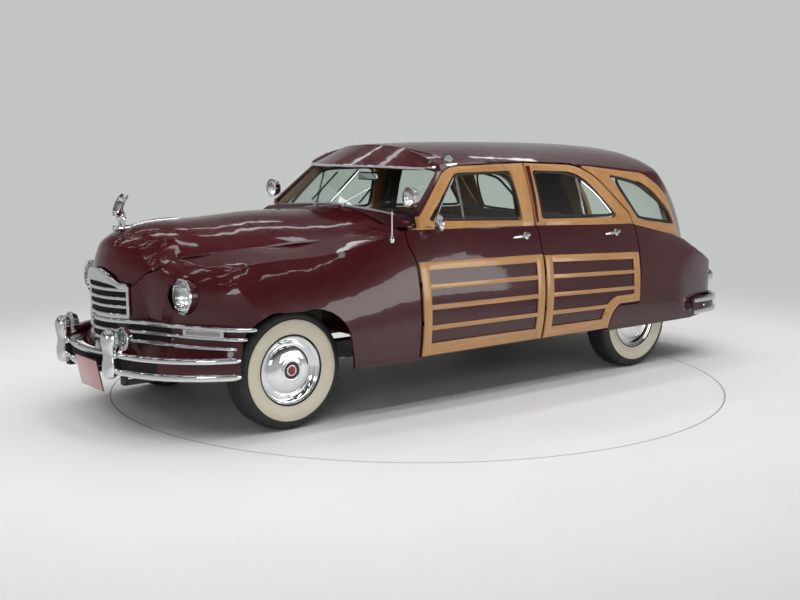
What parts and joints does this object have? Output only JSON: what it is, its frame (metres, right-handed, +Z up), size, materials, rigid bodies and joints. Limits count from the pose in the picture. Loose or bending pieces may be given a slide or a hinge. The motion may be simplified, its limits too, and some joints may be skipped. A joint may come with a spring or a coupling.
{
  "type": "station wagon",
  "caption": "Four-door estate car with timber-framed sides, long hood, split tailgate, opening doors, steering front wheels and skirted rear wheels.",
  "frame": {"origin": "middle of the bounding box, on the ground under the tyres", "axes": "-Y towards the nose, +X towards the left side of the car, +Z up"},
  "size_m": [1.9704, 5.197, 1.6724],
  "materials": {
    "tyre": "black rubber with cream sidewalls",
    "wheel": "painted steel wheel with a bright cap",
    "glass": "clear safety glass",
    "wood": "varnished light hardwood",
    "chrome": "polished chrome",
    "seat": "tan leather cloth",
    "interior": "gloss paint",
    "plate": "pale blank plate",
    "engine": "painted iron",
    "chassis": "satin black",
    "paint": "deep maroon gloss"
  },
  "bodies": {
    "body": {"bulkheads": "paint", "chassis_frame": "chassis", "cowl": "paint", "dashboard": "interior", "engine": "engine", "exhaust": "chassis", "fixed_glass": "glass", "floor_pan": "chassis", "front_bumper": "chrome", "front_fenders": "paint", "front_seat": "seat", "front_suspension": "chassis", "fuel_tank": "chassis", "grille": "chrome", "hinges": "chassis", "lamps": "chrome", "number_plate": "plate", "pillars": "chassis", "quarter_panels": "paint", "quarter_wood": "wood", "rear_axle": "chassis", "rear_bumper": "chrome", "rear_seat": "seat", "roof": "paint", "sun_visor": "paint"},
    "hood_body": {"hood": "paint", "hood_ornament": "chrome"},
    "door_body_front_left": {"front_door_left": "paint", "front_door_wood_left": "wood", "front_door_glass_left": "glass"},
    "door_body_front_right": {"front_door_right": "paint", "front_door_wood_right": "wood", "front_door_glass_right": "glass"},
    "door_body_rear_left": {"rear_door_left": "paint", "rear_door_wood_left": "wood", "rear_door_glass_left": "glass"},
    "door_body_rear_right": {"rear_door_right": "paint", "rear_door_wood_right": "wood", "rear_door_glass_right": "glass"},
    "upper_tailgate": {"tailgate_upper": "wood", "tailgate_glass": "glass"},
    "lower_tailgate": {"tailgate_lower": "wood"},
    "left_knuckle": {"knuckle_left": "chassis"},
    "right_knuckle": {"knuckle_right": "chassis"},
    "front_left_wheel": {"tyre_front_left": "tyre", "wheel_front_left": "wheel"},
    "front_right_wheel": {"tyre_front_right": "tyre", "wheel_front_right": "wheel"},
    "rear_left_wheel": {"tyre_rear_left": "tyre", "wheel_rear_left": "wheel"},
    "rear_right_wheel": {"tyre_rear_right": "tyre", "wheel_rear_right": "wheel"},
    "steering": {"steering_wheel": "interior"}
  },
  "joints": [
    {"name": "steer_left", "type": "hinge", "parent": "body", "child": "left_knuckle", "pos_m": [0.6505, -1.6435, 0.358], "axis": [0, 0, 1], "range_deg": [-30, 30]},
    {"name": "steer_right", "type": "hinge", "parent": "body", "child": "right_knuckle", "pos_m": [-0.6505, -1.6435, 0.358], "axis": [0, 0, 1], "range_deg": [-30, 30]},
    {"name": "spin_front_left", "type": "hinge", "parent": "left_knuckle", "child": "front_left_wheel", "pos_m": [0.7555, -1.6435, 0.358], "axis": [1, 0, 0], "continuous": true},
    {"name": "spin_front_right", "type": "hinge", "parent": "right_knuckle", "child": "front_right_wheel", "pos_m": [-0.7555, -1.6435, 0.358], "axis": [1, 0, 0], "continuous": true},
    {"name": "spin_rear_left", "type": "hinge", "parent": "body", "child": "rear_left_wheel", "pos_m": [0.7685, 1.4045, 0.358], "axis": [1, 0, 0], "continuous": true},
    {"name": "spin_rear_right", "type": "hinge", "parent": "body", "child": "rear_right_wheel", "pos_m": [-0.7685, 1.4045, 0.358], "axis": [1, 0, 0], "continuous": true},
    {"name": "steering_column", "type": "hinge", "parent": "body", "child": "steering", "pos_m": [0.38, -0.3535, 1.035], "axis": [0, 0.848, 0.5299], "range_deg": [-490, 490]},
    {"name": "front_door_left", "type": "hinge", "parent": "body", "child": "door_body_front_left", "pos_m": [0.96676, -0.7115, 0.56], "axis": [0.0221, 0, -0.9998], "range_deg": [0, 65]},
    {"name": "front_door_right", "type": "hinge", "parent": "body", "child": "door_body_front_right", "pos_m": [-0.96676, -0.7115, 0.56], "axis": [0.0221, 0, 0.9998], "range_deg": [0, 65]},
    {"name": "rear_door_left", "type": "hinge", "parent": "body", "child": "door_body_rear_left", "pos_m": [0.96688, 0.3605, 0.56], "axis": [0.0277, 0, -0.9996], "range_deg": [0, 65]},
    {"name": "rear_door_right", "type": "hinge", "parent": "body", "child": "door_body_rear_right", "pos_m": [-0.96688, 0.3605, 0.56], "axis": [0.0277, 0, 0.9996], "range_deg": [0, 65]},
    {"name": "hood_hinge", "type": "hinge", "parent": "body", "child": "hood_body", "pos_m": [0, -0.8085, 1.245], "axis": [-1, 0, 0], "range_deg": [0, 50]},
    {"name": "upper_tailgate_hinge", "type": "hinge", "parent": "body", "child": "upper_tailgate", "pos_m": [0, 2.1035, 1.441], "axis": [1, 0, 0], "range_deg": [0, 80]},
    {"name": "lower_tailgate_hinge", "type": "hinge", "parent": "body", "child": "lower_tailgate", "pos_m": [0, 2.4615, 0.514], "axis": [-1, 0, 0], "range_deg": [0, 90]}
  ],
  "couplings": [
    {"joint": "steer_right", "follows": "steer_left", "ratio": 1},
    {"joint": "steering_column", "follows": "steer_left", "ratio": 16}
  ]
}
